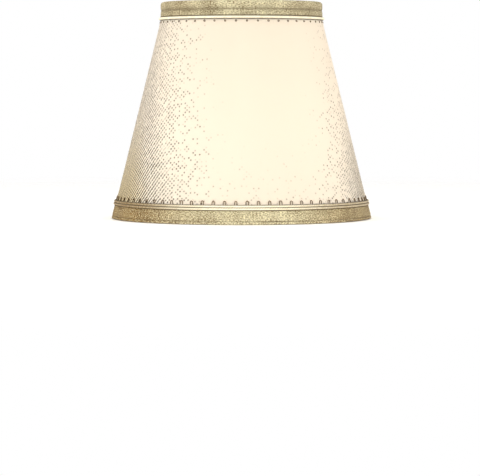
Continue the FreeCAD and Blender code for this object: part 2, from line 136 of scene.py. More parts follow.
# Plain-woven cotton and linen, stretched over the cone on the bias: matt, with a pinhole where four
# threads meet, painted dark as shade, and slubs along one thread, and light from inside comes
# through it.
# Painted shade: pinholes, strokes and a darker tint show more towards the sides, and brown painted
# shade lies in the crevices by the piping.
coverCloth = {
    "thread": "#FDF7ED", "sideShade": "#EBDCAE", "pinholeShade": "#483610", "creviceShade": "#5C4824",
    "pinholePitch": 0.0041,      # real cloth has 0.6 mm, drawn coarser so that it shows
    "pinholeSize": 0.28,         # of the pitch
    "pinholeScatter": 0.2, "pinholeDepth": 0.0006,
    "furrowEdge": (0.05, 0.36), "furrowsFrom": 0.9, "furrowsTo": 1.3, "slubs": 1.0,
    "patchesPerMetre": 150.0,    # furrows break up every 7 mm or so
    "sideShadeFrom": 0.78, "sideShadeTo": 1.12, "through": 0.55, "roughness": 0.88,
}


def makeCoverMaterial():
    c = coverCloth
    material, tree = blankMaterial("cottonLinenCover")
    flat = addNode(tree, "ShaderNodeUVMap", {"uv_map": "cut"}).outputs["UV"]
    # painted shade: one attribute darkens the cloth towards the sides, the other in the crevices by
    # the piping
    weaveShade_ = addNode(tree, "ShaderNodeAttribute", {"attribute_name": "weaveShade"}).outputs["Fac"]
    creviceShade = addNode(tree, "ShaderNodeAttribute", {"attribute_name": "paintedCreviceShade"}).outputs["Fac"]
    bias = addNode(tree, "ShaderNodeMapping", inputs={
        "Vector": flat, "Rotation": (0, 0, math.radians(45))}).outputs["Vector"]
    holes = addNode(tree, "ShaderNodeTexVoronoi", {"voronoi_dimensions": "2D"}, {
        "Vector": bias, "Scale": 1 / c["pinholePitch"], "Randomness": c["pinholeScatter"]})
    hole = addNode(tree, "ShaderNodeMapRange", {"interpolation_type": "SMOOTHSTEP"}, {
        "Value": holes.outputs["Distance"], "From Min": c["pinholeSize"] * 0.5,
        "From Max": c["pinholeSize"] * 1.25, "To Min": 1.0, "To Max": 0.0}).outputs["Result"]
    single = addNode(tree, "ShaderNodeSeparateColor", inputs={"Color": holes.outputs["Color"]})
    # a pinhole shows only where the painted side shade outweighs its own chance of showing
    chance = addNode(tree, "ShaderNodeMath", {"operation": "MULTIPLY_ADD"}, {
        0: single.outputs["Red"], 1: -0.95, 2: addNode(tree, "ShaderNodeMath", {
            "operation": "MULTIPLY"}, {0: weaveShade_, 1: 1.5}).outputs["Value"]}).outputs["Value"]
    stays = addNode(tree, "ShaderNodeMapRange", inputs={
        "Value": chance, "From Min": 0.0, "From Max": 0.3}).outputs["Result"]
    deep = addNode(tree, "ShaderNodeMath", {"operation": "MULTIPLY"}, {
        0: addNode(tree, "ShaderNodeMapRange", inputs={
            "Value": single.outputs["Green"], "To Min": 0.6}).outputs["Result"],
        1: addNode(tree, "ShaderNodeMapRange", inputs={
            "Value": weaveShade_, "To Min": 0.6}).outputs["Result"]}).outputs["Value"]
    shown = addNode(tree, "ShaderNodeMath", {"operation": "MULTIPLY"}, {
        0: addNode(tree, "ShaderNodeMath", {"operation": "MULTIPLY"}, {
            0: hole, 1: stays}).outputs["Value"], 1: deep}).outputs["Value"]
    # threads that lean towards the front gape the most, so their direction changes there
    waves = [addNode(tree, "ShaderNodeTexWave", {"bands_direction": direction}, {
        "Vector": bias, "Scale": bandPeriod / c["pinholePitch"], "Distortion": 0.9,
        "Detail": 2.0, "Detail Scale": 2.0}).outputs["Fac"] for direction in ("X", "Y")]
    across = addNode(tree, "ShaderNodeSeparateXYZ", inputs={"Vector": flat}).outputs["X"]
    slub = addNode(tree, "ShaderNodeMix", {"data_type": "FLOAT"}, {
        0: addNode(tree, "ShaderNodeMapRange", inputs={
            "Value": across, "From Min": -0.02, "From Max": 0.02}).outputs["Result"],
        2: waves[0], 3: waves[1]}).outputs[0]
    furrow = addNode(tree, "ShaderNodeMapRange", {"interpolation_type": "SMOOTHSTEP"}, {
        "Value": slub, "From Min": c["furrowEdge"][0], "From Max": c["furrowEdge"][1],
        "To Min": 1.0, "To Max": 0.0}).outputs["Result"]
    patch = addNode(tree, "ShaderNodeTexNoise", {"noise_dimensions": "2D"}, {
        "Vector": flat, "Scale": c["patchesPerMetre"], "Detail": 3.0,
        "Roughness": 0.6}).outputs["Fac"]
    ridged = addNode(tree, "ShaderNodeMapRange", {"interpolation_type": "SMOOTHSTEP"}, {
        "Value": addNode(tree, "ShaderNodeMath", {"operation": "MULTIPLY_ADD"}, {
            0: patch, 1: 0.8, 2: weaveShade_}).outputs["Value"],
        "From Min": c["furrowsFrom"], "From Max": c["furrowsTo"],
        "To Max": c["slubs"]}).outputs["Result"]
    strokes = addNode(tree, "ShaderNodeMath", {"operation": "MULTIPLY"}, {
        0: furrow, 1: ridged}).outputs["Value"]
    dark = addNode(tree, "ShaderNodeMath", {"operation": "MAXIMUM"}, {
        0: shown, 1: strokes}).outputs["Value"]
    sideShadeAndCloud = addNode(tree, "ShaderNodeMapRange", {"interpolation_type": "SMOOTHSTEP"}, {
        "Value": weaveShade_, "From Min": c["sideShadeFrom"],
        "From Max": c["sideShadeTo"]}).outputs["Result"]
    base = addNode(tree, "ShaderNodeMix", {"data_type": "RGBA"}, {
        0: sideShadeAndCloud, 6: paint(c["thread"]), 7: paint(c["sideShade"])}).outputs[2]
    pricked = addNode(tree, "ShaderNodeMix", {"data_type": "RGBA"}, {
        0: dark, 6: base, 7: paint(c["pinholeShade"])}).outputs[2]
    tint = addNode(tree, "ShaderNodeMix", {"data_type": "RGBA"}, {
        0: creviceShade, 6: pricked, 7: paint(c["creviceShade"])}).outputs[2]
    depth = addNode(tree, "ShaderNodeMath", {"operation": "MULTIPLY_ADD"}, {
        0: slub, 1: 0.12, 2: addNode(tree, "ShaderNodeMath", {"operation": "SUBTRACT"}, {
            0: 1.0, 1: dark}).outputs["Value"]}).outputs["Value"]
    bump = addNode(tree, "ShaderNodeBump", inputs={
        "Height": depth, "Distance": c["pinholeDepth"], "Strength": 0.9}).outputs["Normal"]
    front = addNode(tree, "ShaderNodeBsdfPrincipled", inputs={
        "Base Color": tint, "Roughness": c["roughness"], "Sheen Weight": 0.08,
        "Sheen Roughness": 0.5, "Specular IOR Level": 0.15, "Normal": bump})
    glow = addNode(tree, "ShaderNodeBsdfTranslucent", inputs={"Color": tint})
    both = addNode(tree, "ShaderNodeMixShader", inputs={
        "Fac": c["through"], 1: front.outputs["BSDF"], 2: glow.outputs["BSDF"]})
    addNode(tree, "ShaderNodeOutputMaterial", inputs={"Surface": both.outputs["Shader"]})
    return material


# Calendered styrene sheet: white, faintly waxy and let through by light.
backingSheet = {"white": "#F4F1E8", "warm": "#FFF7E8", "through": 0.4, "roughness": 0.55,
                "cloudsPerMetre": 60.0, "grainsPerMetre": 1400.0, "grainDepth": 0.0001}


def makeBackingMaterial():
    c = backingSheet
    material, tree = blankMaterial("styreneBacking")
    spot = addNode(tree, "ShaderNodeTexCoord").outputs["Object"]
    mottle = addNode(tree, "ShaderNodeTexNoise", inputs={
        "Vector": spot, "Scale": c["cloudsPerMetre"], "Detail": 3.0}).outputs["Fac"]
    grain = addNode(tree, "ShaderNodeTexNoise", inputs={
        "Vector": spot, "Scale": c["grainsPerMetre"], "Detail": 1.0}).outputs["Fac"]
    shade = addNode(tree, "ShaderNodeMapRange", inputs={
        "Value": mottle, "To Min": 0.93, "To Max": 1.0}).outputs["Result"]
    tint = addNode(tree, "ShaderNodeMix", {"data_type": "RGBA", "blend_type": "MULTIPLY"}, {
        0: 1.0, 6: paint(c["white"]), 7: shade}).outputs[2]
    bump = addNode(tree, "ShaderNodeBump", inputs={
        "Height": grain, "Distance": c["grainDepth"], "Strength": 0.35}).outputs["Normal"]
    front = addNode(tree, "ShaderNodeBsdfPrincipled", inputs={
        "Base Color": tint, "Roughness": c["roughness"], "IOR": 1.59, "Normal": bump})
    glow = addNode(tree, "ShaderNodeBsdfTranslucent", inputs={"Color": paint(c["warm"])})
    both = addNode(tree, "ShaderNodeMixShader", inputs={
        "Fac": c["through"], 1: front.outputs["BSDF"], 2: glow.outputs["BSDF"]})
    addNode(tree, "ShaderNodeOutputMaterial", inputs={"Surface": both.outputs["Shader"]})
    return material


# Slubby linen trim: uneven threads both ways with a coarse grain, darker in the gaps, matt.
trimCloth = {
    "light": "#FFF6CE", "dark": "#725622", "creviceShade": "#574320", "sideShade": "#9E7C30",
    "threadPitch": 0.0008,       # as woven, 12 threads to the centimetre
    "grain": 0.0012,             # slubs are 0.5 mm across, drawn coarser so that they show
    "grainDepth": 0.0008, "cloudsPerMetre": 45.0, "roughness": 0.92,
}


def makeTrimMaterial():
    c = trimCloth
    material, tree = blankMaterial("slubLinenTrim")
    cut = addNode(tree, "ShaderNodeUVMap", {"uv_map": "cut"}).outputs["UV"]
    # painted shade: darker towards the sides, along the hollow and crease, and by the piping, as
    # the two attributes mark
    sideShadeAndCloud = addNode(tree, "ShaderNodeAttribute", {"attribute_name": "sideShade"}).outputs["Fac"]
    creviceShade = addNode(tree, "ShaderNodeAttribute", {"attribute_name": "paintedCreviceShade"}).outputs["Fac"]
    waves = []
    for direction in ("X", "Y"):
        waves.append(addNode(tree, "ShaderNodeTexWave", {"bands_direction": direction}, {
            "Vector": cut, "Scale": bandPeriod / c["threadPitch"] / 2, "Distortion": 3.0,
            "Detail": 2.0, "Detail Scale": 2.5, "Detail Roughness": 0.6}).outputs["Fac"])
    weave = addNode(tree, "ShaderNodeMath", {"operation": "MULTIPLY"}, {
        0: waves[0], 1: waves[1]}).outputs["Value"]
    slub = addNode(tree, "ShaderNodeTexNoise", {"noise_dimensions": "2D"}, {
        "Vector": addNode(tree, "ShaderNodeMapping", inputs={
            "Vector": cut,
            "Scale": (0.55 / c["grain"], 1.15 / c["grain"], 1.0)}).outputs["Vector"],
        "Scale": 1.0, "Detail": 3.0, "Roughness": 0.7}).outputs["Fac"]
    coarse = addNode(tree, "ShaderNodeMapRange", inputs={
        "Value": slub, "From Min": 0.37, "From Max": 0.58}).outputs["Result"]
    cloud = addNode(tree, "ShaderNodeTexNoise", {"noise_dimensions": "2D"}, {
        "Vector": cut, "Scale": c["cloudsPerMetre"], "Detail": 2.0}).outputs["Fac"]
    part = addNode(tree, "ShaderNodeMath", {"operation": "MULTIPLY_ADD"}, {
        0: weave, 1: 0.3, 2: addNode(tree, "ShaderNodeMath", {"operation": "MULTIPLY_ADD"}, {
            0: cloud, 1: 0.7, 2: -0.26}).outputs["Value"]}).outputs["Value"]
    tone = addNode(tree, "ShaderNodeMath", {"operation": "MULTIPLY_ADD", "use_clamp": True}, {
        0: coarse, 1: 0.75, 2: part}).outputs["Value"]
    woven = addNode(tree, "ShaderNodeMix", {"data_type": "RGBA"}, {
        0: tone, 6: paint(c["dark"]), 7: paint(c["light"])}).outputs[2]
    # the painted side shade is lighter on the crowns of the slubs
    hold = addNode(tree, "ShaderNodeMath", {"operation": "MULTIPLY"}, {
        0: sideShadeAndCloud, 1: addNode(tree, "ShaderNodeMapRange", inputs={
            "Value": slub, "From Min": 0.5, "From Max": 0.6, "To Min": 1.0,
            "To Max": 0.45}).outputs["Result"]}).outputs["Value"]
    sideShaded = addNode(tree, "ShaderNodeMix", {"data_type": "RGBA", "blend_type": "MULTIPLY"}, {
        0: hold, 6: woven, 7: paint(c["sideShade"])}).outputs[2]
    tint = addNode(tree, "ShaderNodeMix", {"data_type": "RGBA"}, {
        0: creviceShade, 6: sideShaded, 7: paint(c["creviceShade"])}).outputs[2]
    bump = addNode(tree, "ShaderNodeBump", inputs={
        "Height": tone, "Distance": c["grainDepth"], "Strength": 0.9}).outputs["Normal"]
    cloth = addNode(tree, "ShaderNodeBsdfPrincipled", inputs={
        "Base Color": tint, "Roughness": c["roughness"], "Sheen Weight": 0.1,
        "Sheen Roughness": 0.5, "Specular IOR Level": 0.15, "Normal": bump})
    addNode(tree, "ShaderNodeOutputMaterial", inputs={"Surface": cloth.outputs["BSDF"]})
    return material


# Fine cotton cut on the bias round a cord: threads run round it at 45 degrees.
pipingCloth = {"light": "#FFF8E0", "dark": "#DCC793", "creviceShade": "#5E4820", "sideShade": "#7C6132",
               "threadPitch": 0.0011, "threadDepth": 0.0002, "cloudsPerMetre": 160.0,
               "specksPerMetre": 520.0, "roughness": 0.85}


def makePipingMaterial():
    c = pipingCloth
    material, tree = blankMaterial("biasCottonPiping")
    cut = addNode(tree, "ShaderNodeUVMap", {"uv_map": "cut"}).outputs["UV"]
    # painted shade: darker towards the sides and where the tube lies in its seams, as the two
    # attributes mark
    sideShaded = addNode(tree, "ShaderNodeAttribute", {"attribute_name": "sideShade"}).outputs["Fac"]
    creviceShade = addNode(tree, "ShaderNodeAttribute", {"attribute_name": "paintedCreviceShade"}).outputs["Fac"]
    bias = addNode(tree, "ShaderNodeMapping", inputs={
        "Vector": cut, "Rotation": (0, 0, math.radians(45))}).outputs["Vector"]
    threads = addNode(tree, "ShaderNodeTexWave", {"bands_direction": "X"}, {
        "Vector": bias, "Scale": bandPeriod / c["threadPitch"] / 2, "Distortion": 0.8,
        "Detail": 1.0}).outputs["Fac"]
    sideShadeAndCloud = addNode(tree, "ShaderNodeTexNoise", {"noise_dimensions": "2D"}, {
        "Vector": cut, "Scale": c["cloudsPerMetre"], "Detail": 3.0}).outputs["Fac"]
    mottle = addNode(tree, "ShaderNodeTexNoise", {"noise_dimensions": "2D"}, {
        "Vector": cut, "Scale": c["specksPerMetre"], "Detail": 3.0,
        "Roughness": 0.7}).outputs["Fac"]
    mottledShade = addNode(tree, "ShaderNodeMath", {"operation": "MULTIPLY"}, {
        0: sideShaded, 1: addNode(tree, "ShaderNodeMapRange", inputs={
            "Value": mottle, "From Min": 0.38, "From Max": 0.58,
            "To Min": 0.7}).outputs["Result"]}).outputs["Value"]
    tone = addNode(tree, "ShaderNodeMath", {"operation": "MULTIPLY_ADD", "use_clamp": True}, {
        0: threads, 1: 0.35, 2: addNode(tree, "ShaderNodeMath", {"operation": "ADD"}, {
            0: sideShadeAndCloud, 1: 0.15}).outputs["Value"]}).outputs["Value"]
    woven = addNode(tree, "ShaderNodeMix", {"data_type": "RGBA"}, {
        0: tone, 6: paint(c["dark"]), 7: paint(c["light"])}).outputs[2]
    sideShadedCloth = addNode(tree, "ShaderNodeMix", {"data_type": "RGBA"}, {
        0: mottledShade, 6: woven, 7: paint(c["sideShade"])}).outputs[2]
    tint = addNode(tree, "ShaderNodeMix", {"data_type": "RGBA"}, {
        0: creviceShade, 6: sideShadedCloth, 7: paint(c["creviceShade"])}).outputs[2]
    bump = addNode(tree, "ShaderNodeBump", inputs={
        "Height": tone, "Distance": c["threadDepth"], "Strength": 0.6}).outputs["Normal"]
    cloth = addNode(tree, "ShaderNodeBsdfPrincipled", inputs={
        "Base Color": tint, "Roughness": c["roughness"], "Sheen Weight": 0.1,
        "Sheen Roughness": 0.5, "Specular IOR Level": 0.2, "Normal": bump})
    addNode(tree, "ShaderNodeOutputMaterial", inputs={"Surface": cloth.outputs["BSDF"]})
    return material


# Waxed linen thread, two plies twisted together: dark brown with a low shine.
stitchThread = {"light": "#6A5027", "dark": "#3A2A12", "plyPitch": 0.0011, "plyDepth": 0.0002,
                "fibresPerMetre": 900.0, "roughness": 0.55}
# Raw cotton in the cords and the ring tape: off-white and fully matt.
rawCotton = {"light": "#E9E2CF", "dark": "#BDB093", "plyPitch": 0.0014, "plyDepth": 0.0002,
             "fibresPerMetre": 900.0, "roughness": 0.95}


def makeYarnMaterial(name, yarn):
    material, tree = blankMaterial(name)
    spot = addNode(tree, "ShaderNodeTexCoord").outputs["Object"]
    plies = addNode(tree, "ShaderNodeTexWave", {"bands_direction": "DIAGONAL"}, {
        "Vector": spot, "Scale": bandPeriod / yarn["plyPitch"] / 2, "Distortion": 1.0,
        "Detail": 1.0}).outputs["Fac"]
    fibres = addNode(tree, "ShaderNodeTexNoise", inputs={
        "Vector": spot, "Scale": yarn["fibresPerMetre"], "Detail": 2.0}).outputs["Fac"]
    tone = addNode(tree, "ShaderNodeMath", {"operation": "MULTIPLY_ADD", "use_clamp": True}, {
        0: plies, 1: 0.6, 2: addNode(tree, "ShaderNodeMath", {"operation": "MULTIPLY"}, {
            0: fibres, 1: 0.6}).outputs["Value"]}).outputs["Value"]
    tint = addNode(tree, "ShaderNodeMix", {"data_type": "RGBA"}, {
        0: tone, 6: paint(yarn["dark"]), 7: paint(yarn["light"])}).outputs[2]
    bump = addNode(tree, "ShaderNodeBump", inputs={
        "Height": tone, "Distance": yarn["plyDepth"], "Strength": 0.7}).outputs["Normal"]
    thread = addNode(tree, "ShaderNodeBsdfPrincipled", inputs={
        "Base Color": tint, "Roughness": yarn["roughness"], "Specular IOR Level": 0.3,
        "Normal": bump})
    addNode(tree, "ShaderNodeOutputMaterial", inputs={"Surface": thread.outputs["BSDF"]})
    return material


# Drawn steel wire and brass plate: fine streaks along the drawing, a soft shine.
drawnSteel = {"light": "#B9B8B4", "dark": "#8A8884", "roughness": 0.38,
              "cloudsPerMetre": 120.0, "streaksPerMetre": 1500.0, "streakDepth": 0.00005}
brassPlate = {"light": "#D3AE66", "dark": "#A9823F", "roughness": 0.3,
              "cloudsPerMetre": 120.0, "streaksPerMetre": 1500.0, "streakDepth": 0.00005}


def makeMetalMaterial(name, metal):
    material, tree = blankMaterial(name)
    spot = addNode(tree, "ShaderNodeTexCoord").outputs["Object"]
    cloud = addNode(tree, "ShaderNodeTexNoise", inputs={
        "Vector": spot, "Scale": metal["cloudsPerMetre"], "Detail": 4.0}).outputs["Fac"]
    streak = addNode(tree, "ShaderNodeTexNoise", inputs={
        "Vector": spot, "Scale": metal["streaksPerMetre"], "Detail": 2.0}).outputs["Fac"]
    tint = addNode(tree, "ShaderNodeMix", {"data_type": "RGBA"}, {
        0: cloud, 6: paint(metal["dark"]), 7: paint(metal["light"])}).outputs[2]
    rough = addNode(tree, "ShaderNodeMapRange", inputs={
        "Value": cloud, "To Min": metal["roughness"] + 0.12,
        "To Max": metal["roughness"] - 0.06}).outputs["Result"]
    bump = addNode(tree, "ShaderNodeBump", inputs={
        "Height": streak, "Distance": metal["streakDepth"], "Strength": 0.3}).outputs["Normal"]
    wire = addNode(tree, "ShaderNodeBsdfPrincipled", inputs={
        "Base Color": tint, "Metallic": 1.0, "Roughness": rough, "Normal": bump})
    addNode(tree, "ShaderNodeOutputMaterial", inputs={"Surface": wire.outputs["BSDF"]})
    return material


coverMaterial = makeCoverMaterial()
backingMaterial = makeBackingMaterial()
trimMaterial = makeTrimMaterial()
pipingMaterial = makePipingMaterial()
threadMaterial = makeYarnMaterial("waxedLinenThread", stitchThread)
cottonMaterial = makeYarnMaterial("rawCotton", rawCotton)
steelMaterial = makeMetalMaterial("drawnSteelWire", drawnSteel)
brassMaterial = makeMetalMaterial("brassPlatedSteel", brassPlate)
print("materials made")


def lineFrom(radius, level):  # a profile starts as one vertex in the XZ plane
    mesh = bmesh.new()
    mesh.verts.new((radius, 0, level))
    mesh.verts.ensure_lookup_table()
    return mesh


def lineTo(mesh, radius, level, parts=1):  # goes on from the newest vertex in even steps
    last = mesh.verts[-1]
    start = last.co.copy()
    for part in range(1, parts + 1):
        last = bmesh.ops.extrude_vert_indiv(mesh, verts=[last])["verts"][0]
        last.co = start.lerp(Vector((radius, 0, level)), part / parts)
    mesh.verts.ensure_lookup_table()


def lineRound(mesh, radius, level, degrees, parts):  # turns the newest vertex about a point
    bmesh.ops.spin(mesh, geom=[mesh.verts[-1]], cent=(radius, 0, level), axis=(0, 1, 0),
                   angle=math.radians(degrees), steps=parts, use_merge=False,
                   use_duplicate=False)
    mesh.verts.ensure_lookup_table()


def goRound(mesh, steps, sweep=math.tau, start=backAngle):
    # spins the profile about the lamp's axis; returns each vertex's turn and its way along the
    # profile, and where these two start again if the shape is closed
    rows = len(mesh.verts)
    points = [v.co.copy() for v in mesh.verts]
    along = [0.0]
    for a, b in zip(points, points[1:]):
        along.append(along[-1] + (b - a).length)
    closed = len(mesh.edges) == rows
    whole = along[-1] + (points[0] - points[-1]).length
    bmesh.ops.rotate(mesh, verts=mesh.verts, cent=(0, 0, 0),
                     matrix=Matrix.Rotation(start, 3, "Z"))
    full = abs(sweep - math.tau) < 1e-6
    bmesh.ops.spin(mesh, geom=mesh.verts[:] + mesh.edges[:], cent=(0, 0, 0), axis=(0, 0, 1),
                   angle=sweep, steps=steps, use_merge=full, use_duplicate=False)
    mesh.verts.index_update()
    mesh.verts.ensure_lookup_table()
    turns = [sweep * (v.index // rows) / steps for v in mesh.verts]
    ways = [along[v.index % rows] for v in mesh.verts]
    return turns, ways, (whole if closed else None, sweep if full else None)


def layCut(mesh, turns, ways, ends, place):  # the cloth's own flat map, in metres
    layer = mesh.loops.layers.uv.new("cut")
    for face in mesh.faces:
        faceTurns = [turns[v.index] for v in face.verts]
        faceWays = [ways[v.index] for v in face.verts]
        for loop in face.loops:
            turn, way = turns[loop.vert.index], ways[loop.vert.index]
            if ends[1] and turn == 0 and max(faceTurns) > math.pi:
                turn = ends[1]
            if ends[0] and way == 0 and max(faceWays) > ends[0] / 2:
                way = ends[0]
            loop[layer].uv = place(turn, way)


def mark(mesh, name, value):  # a number at each vertex, which the materials read
    layer = mesh.verts.layers.float.new(name)
    mesh.verts.ensure_lookup_table()
    for v in mesh.verts:
        v[layer] = value(v)


# painted shade: the cloth darkens to brown in the crevices where it meets the piping
seamShade = {"reach": 0.0014, "full": 0.25, "strength": 0.9}
pipingSections = [sectionOf(n) for n in ("top_piping_cover", "upper_welt_cover",
                                         "lower_welt_cover")]


def creviceShadeAt(v):
    radius = math.hypot(v.co.x, v.co.y)
    gap = min(math.hypot(radius - ringAt, v.co.z - level) - thick / 2
              for ringAt, level, thick in pipingSections)
    return seamShade["strength"] * (1 - easeStep(seamShade["full"], 1, gap / seamShade["reach"]))


# painted shade: the trims darken towards both sides as seen from the front, the left more than the
# right and the lower ones most
sideShading = {"upper": 0.45, "lower": 1.0, "welts": 1.0, "rightShare": 0.76, "atBack": 0.3,
           "from": 8, "to": 54, "backFrom": 100, "backTo": 160}    # degrees from the front


def sideShadeAt(v, amount):
    side = abs(math.degrees(math.atan2(v.co.x, -v.co.y)))
    share = 1.0 if v.co.x < 0 else sideShading["rightShare"]
    back = easeStep(sideShading["backFrom"], sideShading["backTo"], side)
    back = 1 - (1 - sideShading["atBack"]) * back
    return amount * share * back * easeStep(sideShading["from"], sideShading["to"], side)


def outwards(mesh):  # turns a piece's faces to look away from the lamp's axis
    bmesh.ops.recalc_face_normals(mesh, faces=mesh.faces)
    mesh.faces.ensure_lookup_table()
    total = sum((f.normal.x * f.calc_center_median().x + f.normal.y * f.calc_center_median().y)
                * f.calc_area() for f in mesh.faces)
    if total < 0:
        bmesh.ops.reverse_faces(mesh, faces=mesh.faces)


def finishPiece(name, mesh, material, nodes, thickness=0.0, offset=0.0, subdivide=0):
    outwards(mesh)
    for face in mesh.faces:
        face.smooth = True
    data = bpy.data.meshes.new(name)
    mesh.to_mesh(data)
    mesh.free()
    data.materials.append(material)
    piece = bpy.data.objects.new(name, data)
    bpy.context.scene.collection.objects.link(piece)
    if thickness:
        wall = piece.modifiers.new("thickness", "SOLIDIFY")
        wall.thickness = thickness
        wall.offset = offset
    if subdivide:
        soft = piece.modifiers.new("smoothing", "SUBSURF")
        soft.levels = subdivide
        soft.render_levels = subdivide
    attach(piece, "root")
    if nodes:
        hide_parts(*nodes)
    return piece


# stitches first, because the cloth is pulled in at each of them
lowerStitches = {"count": 72, "firstTurn": math.radians(2.5), "width": 0.0042, "height": 0.0048,
                 "thread": 0.0011, "tilt": 0.09, "vary": 0.07, "seed": 7,
                 "dip": (-0.0006, -0.0002), "rise": (0.0012, 0.0004)}   # how a leg leaves the cloth
upperStitches = {"count": 48, "firstTurn": math.radians(3.75), "width": 0.0030,
                 "thread": 0.0010, "sunk": 0.35, "tilt": 3.1, "vary": 0.14, "seed": 11}
loopFoot = nodeSpan("bottom_stitches")[0].z
loopTop = nodeSpan("bottom_stitches")[1].z
knotLevel = (nodeSpan("top_stitches")[0].z + nodeSpan("top_stitches")[1].z) / 2


def onCover(angle, level, lift=0.0):  # a place on the cloth: across, up the slope, outwards
    out = Vector((math.cos(angle), math.sin(angle), coneSlope)) / slant
    up = Vector((-math.cos(angle) * coneSlope, -math.sin(angle) * coneSlope, 1)) / slant
    across = up.cross(out)
    radius = coneRadius(level)
    spot = Vector((math.cos(angle) * radius, math.sin(angle) * radius, level)) + out * lift
    return Matrix.Translation(spot) @ Matrix((across, up, out)).transposed().to_4x4()


# how far the cloth stands up between two stitches, and how that fades away from their row
billow = {"low": 0.00065, "lowFrom": 0.6, "lowFade": 1.1, "high": 0.0005, "highReach": 0.0042}


def between(turn, stitches):  # from 0 at a stitch to 1 halfway to the next
    return 0.5 - 0.5 * math.cos((turn - stitches["firstTurn"]) * stitches["count"])


def pull(turn, level):
    c = billow
    reach = (level - loopFoot) / (loopTop - loopFoot)
    fade = math.exp(-max(reach - c["lowFrom"], 0) * c["lowFade"]) if reach > 0 else 1.0
    near = bell(level - knotLevel, c["highReach"])
    low = c["low"] * between(turn, lowerStitches) * fade
    high = c["high"] * between(turn, upperStitches) * near
    return low + high


# the cover: one gore of cloth, stretched over the backing and lapped at the back
coverCut = {"steps": 576, "unevenness": 0.00018, "wavesPerMetre": 22, "hem": 0.0003,
            # rows of faces up to each level, closer together by the stitches
            "rows": ((lowerTrimTop, 3), (0.032, 15), (0.044, 5), (0.238, 24), (0.253, 14)),
            # from pressed flat to free, above the lower trim's top and below the upper's foot
            "freeLow": (-0.002, 0.0015), "freeHigh": (-0.0015, 0.002)}
coverFoot, coverHead = nodeSpan("cover_cloth")[0].z, nodeSpan("cover_cloth")[1].z

# painted side shade, in pinholes, strokes and a darker tint: degrees from the front at the top, and
# how many fewer at the foot
weaveShading = {"left": 1.0, "leftFrom": 8, "leftTo": 84, "leftFromLow": 16, "leftToLow": 20,
            "leftTop": 0.62, "leftFoot": 0.42,
            "right": 0.8, "rightFrom": 34, "rightTo": 92, "rightFromLow": 18, "rightToLow": 16,
            "rightTop": 0.3, "rightFoot": 0.75,
            "back": 0.42, "backFrom": 96, "backTo": 150, "front": 0.13}


def weaveShadeAt(turn, level):  # painted side shade, from 0 at the front to 1 at the lower left
    c = weaveShading
    round_ = math.degrees(turn) - 180         # from the front, negative to the left
    low = 1 - (level - coverFoot) / (coverHead - coverFoot)
    left = easeStep(c["leftFrom"] - c["leftFromLow"] * low, c["leftTo"] - c["leftToLow"] * low,
                    -round_) * c["left"] * (c["leftTop"] + c["leftFoot"] * low)
    right = easeStep(c["rightFrom"] - c["rightFromLow"] * low * low,
                     c["rightTo"] - c["rightToLow"] * low, round_) * c["right"]
    right *= c["rightTop"] + c["rightFoot"] * easeStep(0.1, 0.9, low)
    back = easeStep(c["backFrom"], c["backTo"], abs(round_))
    front = c["front"] * easeStep(0.5, 0.95, low)
    return max(left, right, front) * (1 - back) + c["back"] * back


def makeCover():
    c = coverCut
    mesh = lineFrom(coneRadius(coverFoot), coverFoot)
    for level, parts in (*c["rows"], (coverHead, 3)):
        lineTo(mesh, coneRadius(level), level, parts)
    lap = lapWidth / coneRadius(coverFoot)
    turns, ways, ends = goRound(mesh, c["steps"], math.tau + lap)
    apex = coneRadius(0) / coneSlope
    for v in mesh.verts:
        turn, level = turns[v.index], v.co.z
        past = (turn - math.tau) * coneRadius(level)   # how far into the lap, negative before it
        free = easeStep(*c["freeLow"], level - lowerTrimTop)
        free *= 1 - easeStep(*c["freeHigh"], level - upperTrimFoot)
        lift = pull(turn, level)
        lift += c["unevenness"] * (0.5 + 0.5 * noise.noise(v.co * c["wavesPerMetre"]))
        lift += c["hem"] * easeStep(-0.001, 0.001, past)
        lift *= free
        lift += ontoLap("cover", past)
        out = Vector((v.co.x, v.co.y, 0)).normalized() + Vector((0, 0, coneSlope))
        v.co += out.normalized() * lift
    half = math.atan(coneSlope)

    def place(turn, way):  # the cone unrolled
        level = coverFoot + way / slant
        reach = (apex - level) * slant
        swing = (turn - math.pi) * math.sin(half)
        return reach * math.sin(swing), -reach * math.cos(swing)

    layCut(mesh, turns, ways, ends, place)
    mark(mesh, "weaveShade", lambda v: weaveShadeAt(turns[v.index], v.co.z))
    mark(mesh, "paintedCreviceShade", creviceShadeAt)
    piece = finishPiece("coverCloth", mesh, coverMaterial, ["cover_cloth"],
                        layers["cover"], -1)
    return piece


# the backing: a stiff sheet rolled into a cone and lapped at the back
backingCut = {"steps": 288, "rows": 24}


def makeBacking():
    c = backingCut
    mesh = lineFrom(coneRadius(coneFoot) - layers["cover"], coneFoot)
    lineTo(mesh, coneRadius(coneHead) - layers["cover"], coneHead, c["rows"])
    lap = lapWidth / coneRadius(coneFoot)
    turns = goRound(mesh, c["steps"], math.tau + lap)[0]
    for v in mesh.verts:
        past = (turns[v.index] - math.tau) * v.co.xy.length
        v.co -= Vector((v.co.x, v.co.y, 0)).normalized() * ontoLap("backing", past)
    finishPiece("styreneBacking", mesh, backingMaterial, ["backing_cone"],
                layers["backing"], -1)


# upper trim: a folded strip over the taped ring, its inner edge slit for the arms
upperTrim = {"steps": 288, "lapSteps": 6, "startStep": 7,
             "tuck": 0.014, "straight": 0.0042, "tuckClear": 0.0002,  # inside, below the ring
             "hemRows": 0.002, "fray": 0.0002, "frays": 40,
             "hollow": 0.0007, "hollowReach": 0.0017, "hollowShift": 0.0005,
             "wave": 0.0002, "wavesRound": 9, "wavesUp": 90, "slitAbove": 0.0008,
             "shadeReach": 0.0013, "shadeStrength": 0.6, "broadReach": 0.0034,
             "patchesPerMetre": 38}
edgeShade = (0.0003, 0.0014)      # how far a trim's edge is shaded, from its own edge inwards


